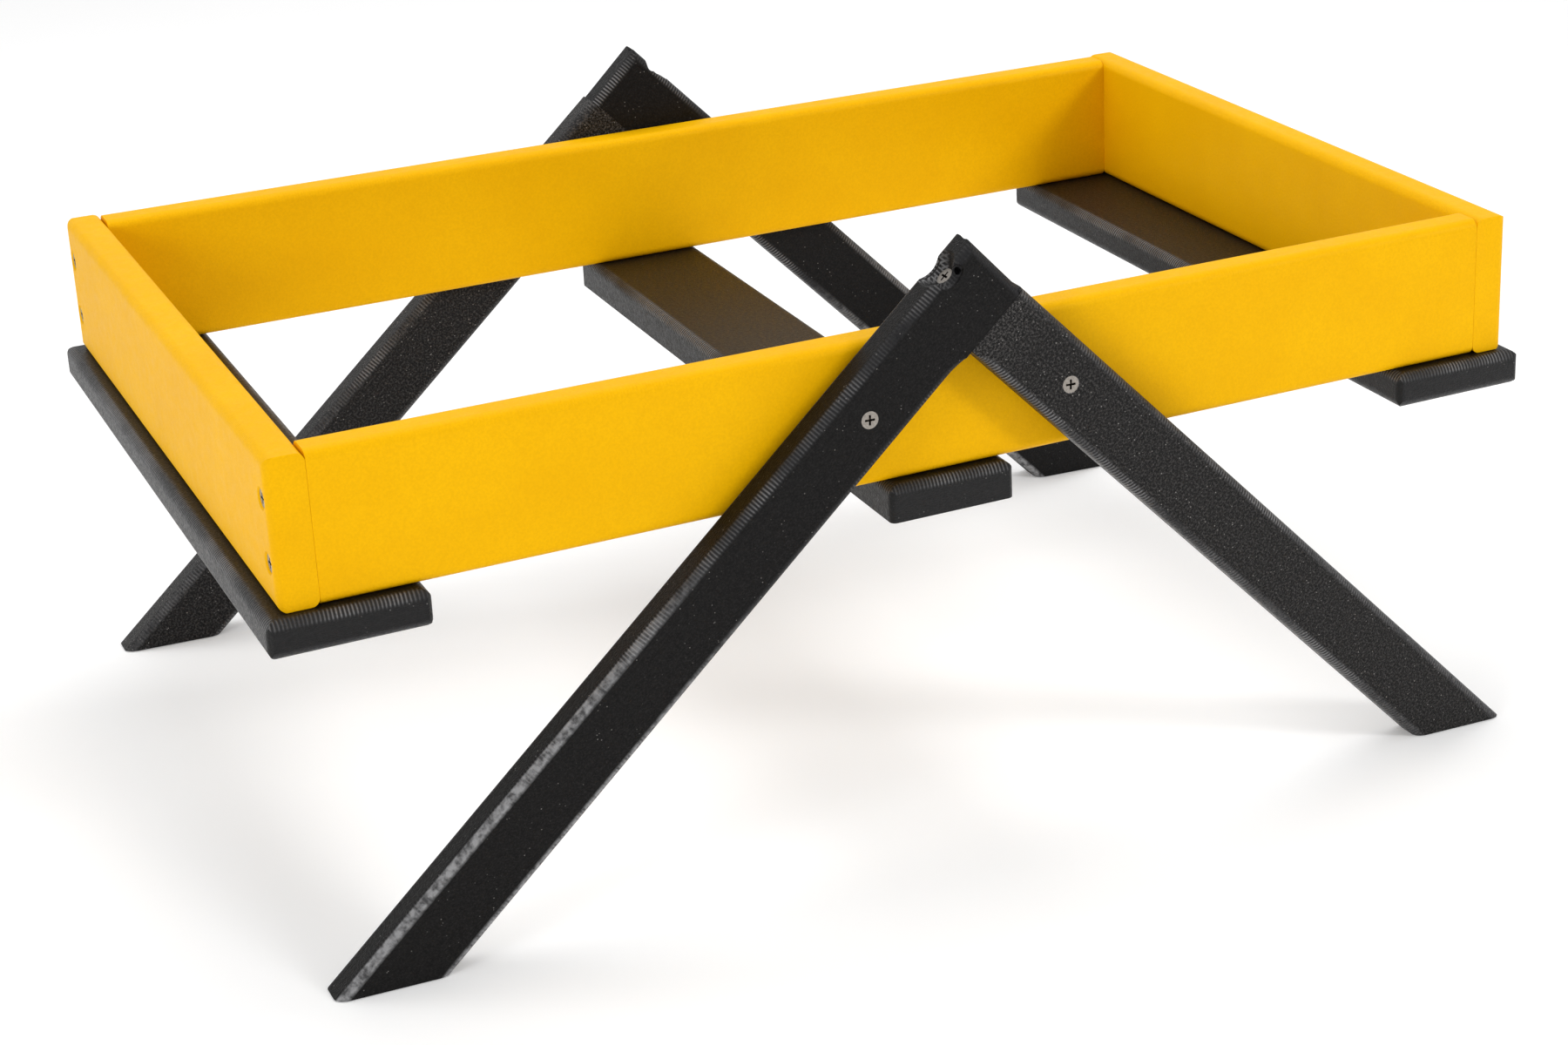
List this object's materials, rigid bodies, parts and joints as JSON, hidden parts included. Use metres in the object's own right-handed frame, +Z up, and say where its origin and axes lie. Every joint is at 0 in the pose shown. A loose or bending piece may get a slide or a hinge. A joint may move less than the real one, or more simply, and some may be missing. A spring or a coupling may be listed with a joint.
{
  "type": "low trestle stand",
  "caption": "Low trestle stand: a rectangular board frame with flat cross slats under it, carried by inverted-V leg frames screwed to its long sides.",
  "frame": {"origin": "on the ground, under the middle of the board frame", "axes": "+X along the long side boards towards the end that stands higher, +Y across the frame away from the near side, +Z up"},
  "size_m": [0.674, 0.444, 0.318],
  "materials": {
    "yellow_board": "satin, fine orange-peel texture",
    "black_slat": "satin, fine pebble texture",
    "black_leg": "satin, fine pebble texture",
    "screw_steel": "stainless, cross recess"
  },
  "bodies": {
    "root": {"near_side_board": "yellow_board", "far_side_board": "yellow_board", "left_end_board": "yellow_board", "right_end_board": "yellow_board", "left_slat": "black_slat", "middle_slat": "black_slat", "right_slat": "black_slat", "near_through_leg": "black_leg", "near_butted_leg": "black_leg", "far_through_leg": "black_leg", "far_butted_leg": "black_leg", "near_leg_screws": "screw_steel", "far_leg_screws": "screw_steel", "near_apex_screw": "screw_steel", "far_apex_screw": "screw_steel", "left_near_corner_screws": "screw_steel", "left_far_corner_screws": "screw_steel", "right_near_corner_screws": "screw_steel", "right_far_corner_screws": "screw_steel", "left_slat_screws": "screw_steel", "middle_slat_screws": "screw_steel", "right_slat_screws": "screw_steel"}
  },
  "joints": []
}
